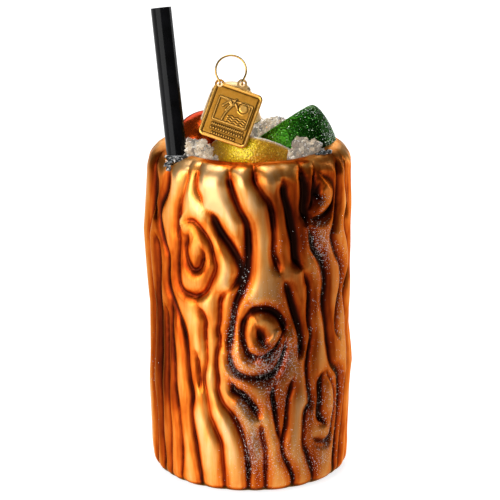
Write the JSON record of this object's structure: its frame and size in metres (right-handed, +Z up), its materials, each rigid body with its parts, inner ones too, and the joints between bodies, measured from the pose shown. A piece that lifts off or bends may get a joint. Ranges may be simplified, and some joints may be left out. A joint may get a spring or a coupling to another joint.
{
  "type": "cocktail log hanging ornament",
  "caption": "Blown glass hanging ornament shaped like a tiki cocktail in a bark log mug, with straw, citrus wedges, crushed ice, sprung metal cap, wire loop and a small tag.",
  "frame": {"origin": "centre of the bounding box's underside, which is the middle of the flat base under the log", "axes": "+Z up along the log, -Y is the front with the tag and the large knot, +X to the right seen from the front"},
  "size_m": [0.06, 0.06, 0.1424],
  "materials": {
    "log_lacquer": "satin amber and copper metallic lacquer over silvered blown glass, dark red-brown in the bark grooves, with a scatter of silver glitter",
    "cap_brass": "bright gold-coloured stamped sheet",
    "spring_steel": "plain spring wire",
    "loop_wire": "bright gold-coloured wire",
    "tag_brass": "polished gold-coloured embossed sheet",
    "straw_black": "glossy black",
    "clear_glue": "clear glue over black, with stray grains",
    "lemon_glass": "yellow and ochre lacquered glass under fine glitter, white pith line",
    "lime_glass": "dark glossy green lacquered glass under fine glitter",
    "orange_glass": "glossy orange-red lacquered glass",
    "ice_grains": "clear and milky crushed grains with bright facets"
  },
  "bodies": {
    "ornament": {"glass_body": "log_lacquer", "straw": "straw_black", "straw_glue": "clear_glue", "lemon_wedge": "lemon_glass", "lime_wedge": "lime_glass", "orange_wedge": "orange_glass", "ice_left": "ice_grains", "ice_right": "ice_grains", "ice_back": "ice_grains", "ice_by_straw": "ice_grains"},
    "cap": {"neck_cap": "cap_brass", "cap_spring": "spring_steel"},
    "loop": {"hanging_loop": "loop_wire"},
    "tag": {"tag_plate": "tag_brass"}
  },
  "joints": [
    {"name": "cap_pull", "type": "slide", "parent": "ornament", "child": "cap", "axis": [0, 0, 1], "range_m": [0, 0.018]},
    {"name": "loop_swing", "type": "hinge", "parent": "cap", "child": "loop", "pos_m": [-0.0056, -0.00432, 0.1191], "axis": [1, 0, 0], "range_deg": [-15, 15]},
    {"name": "tag_swing", "type": "hinge", "parent": "cap", "child": "tag", "pos_m": [-0.0089, -0.005, 0.1194], "axis": [0, -0.9135, 0.4067], "range_deg": [-9, 9]}
  ]
}
